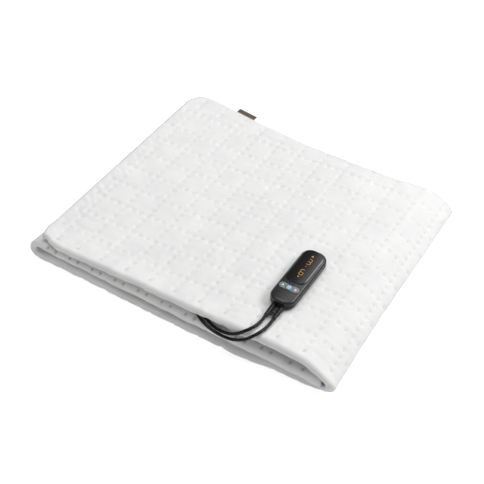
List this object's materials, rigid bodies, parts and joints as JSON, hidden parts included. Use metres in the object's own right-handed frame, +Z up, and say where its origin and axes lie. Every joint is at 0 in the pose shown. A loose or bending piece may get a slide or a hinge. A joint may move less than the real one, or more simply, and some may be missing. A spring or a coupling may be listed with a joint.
{
  "type": "electric heated blanket, folded, with its controller",
  "caption": "Quilted fleece heated blanket folded in a flat stack, with a hand controller lying on it, two cords, a coiled mains lead and a flat plug.",
  "frame": {"origin": "middle of the underside of the folded blanket's box, on the surface it lies on", "axes": "+X along the front folds, towards the outer fold where the controller is; +Y from the front folds to the hems; +Z up"},
  "size_m": [0.506, 0.4479, 0.0734],
  "materials": {
    "fleece": "short brushed pile, quilted with pin-point welds, pale lilac overlocked edge",
    "ribbon": "woven brown ribbon, bare",
    "controller_dark": "fine spark texture",
    "controller_grey": "satin grey moulding",
    "display": "smoked glossy cover over amber figures",
    "key_grey": "pale grey translucent key",
    "key_lit": "blue lit key",
    "relief": "moulded soft plastic",
    "cord": "smooth black sheath",
    "tie": "black soft tie",
    "plug": "black moulded plastic",
    "pins": "nickel plated"
  },
  "bodies": {
    "folded_blanket": {"blanket": "fleece", "side_label": "ribbon", "controller_base": "controller_dark", "controller_shell": "controller_grey", "display_window": "display", "strain_relief": "relief", "mains_cord": "cord", "cord_coil": "cord", "coil_tie": "tie", "mains_cord_tail": "cord", "mains_plug": "plug", "plug_pin_1": "pins", "plug_pin_2": "pins", "blanket_lead": "cord", "blanket_socket": "plug"},
    "left_key": {"key_left": "key_grey"},
    "middle_key": {"key_middle": "key_lit"},
    "right_key": {"key_right": "key_grey"}
  },
  "joints": [
    {"name": "left_key_press", "type": "slide", "parent": "folded_blanket", "child": "left_key", "axis": [0, 0, -1], "range_m": [0, 0.0004], "stiffness_N_per_m": 2500},
    {"name": "middle_key_press", "type": "slide", "parent": "folded_blanket", "child": "middle_key", "axis": [0, 0, -1], "range_m": [0, 0.0004], "stiffness_N_per_m": 2500},
    {"name": "right_key_press", "type": "slide", "parent": "folded_blanket", "child": "right_key", "axis": [0, 0, -1], "range_m": [0, 0.0004], "stiffness_N_per_m": 2500}
  ]
}
